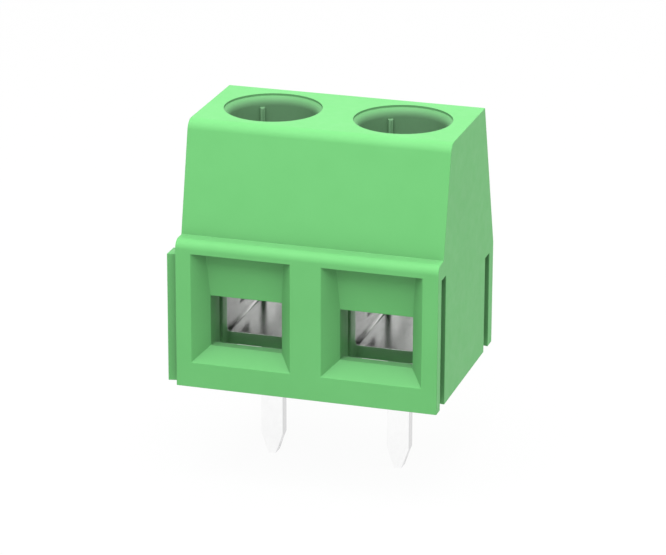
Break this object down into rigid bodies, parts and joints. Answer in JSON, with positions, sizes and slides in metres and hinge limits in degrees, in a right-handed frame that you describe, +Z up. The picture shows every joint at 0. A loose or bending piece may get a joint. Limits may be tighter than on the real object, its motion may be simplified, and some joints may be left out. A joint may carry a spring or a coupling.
{
  "type": "pcb screw terminal",
  "caption": "Circuit-board terminal block with a sloped moulded housing, screw-driven rising clamp cages behind funnelled wire entries, and flat solder pins underneath.",
  "frame": {"origin": "on the circuit board's surface, under the housing's flat underside, midway between the two solder pins and the two screw axes", "axes": "+X along the row of poles towards the side with the joining slots, +Y from the wire side to the rear, +Z up, away from the board"},
  "size_m": [0.0107, 0.0082, 0.0139],
  "materials": {
    "housing_plastic": "satin moulded plastic",
    "cage_metal": "nickel-plated strip",
    "screw_metal": "zinc-plated",
    "contact_metal": "tin-plated"
  },
  "bodies": {
    "block": {"housing": "housing_plastic", "solder_contact_left": "contact_metal", "solder_contact_right": "contact_metal"},
    "screw_left": {"clamp_screw_left": "screw_metal"},
    "screw_right": {"clamp_screw_right": "screw_metal"},
    "cage_left": {"clamp_cage_left": "cage_metal"},
    "cage_right": {"clamp_cage_right": "cage_metal"}
  },
  "joints": [
    {"name": "screw_turn_left", "type": "hinge", "parent": "block", "child": "screw_left", "pos_m": [-0.00254, 0, 0.0041], "axis": [0, 0, -1], "range_deg": [0, 1440]},
    {"name": "screw_turn_right", "type": "hinge", "parent": "block", "child": "screw_right", "pos_m": [0.00254, 0, 0.0041], "axis": [0, 0, -1], "range_deg": [0, 1440]},
    {"name": "cage_lift_left", "type": "slide", "parent": "block", "child": "cage_left", "axis": [0, 0, 1], "range_m": [0, 0.0018]},
    {"name": "cage_lift_right", "type": "slide", "parent": "block", "child": "cage_right", "axis": [0, 0, 1], "range_m": [0, 0.0018]}
  ],
  "couplings": [
    {"joint": "screw_turn_left", "follows": "cage_lift_left", "rad_per_m": 13963},
    {"joint": "screw_turn_right", "follows": "cage_lift_right", "rad_per_m": 13963}
  ]
}
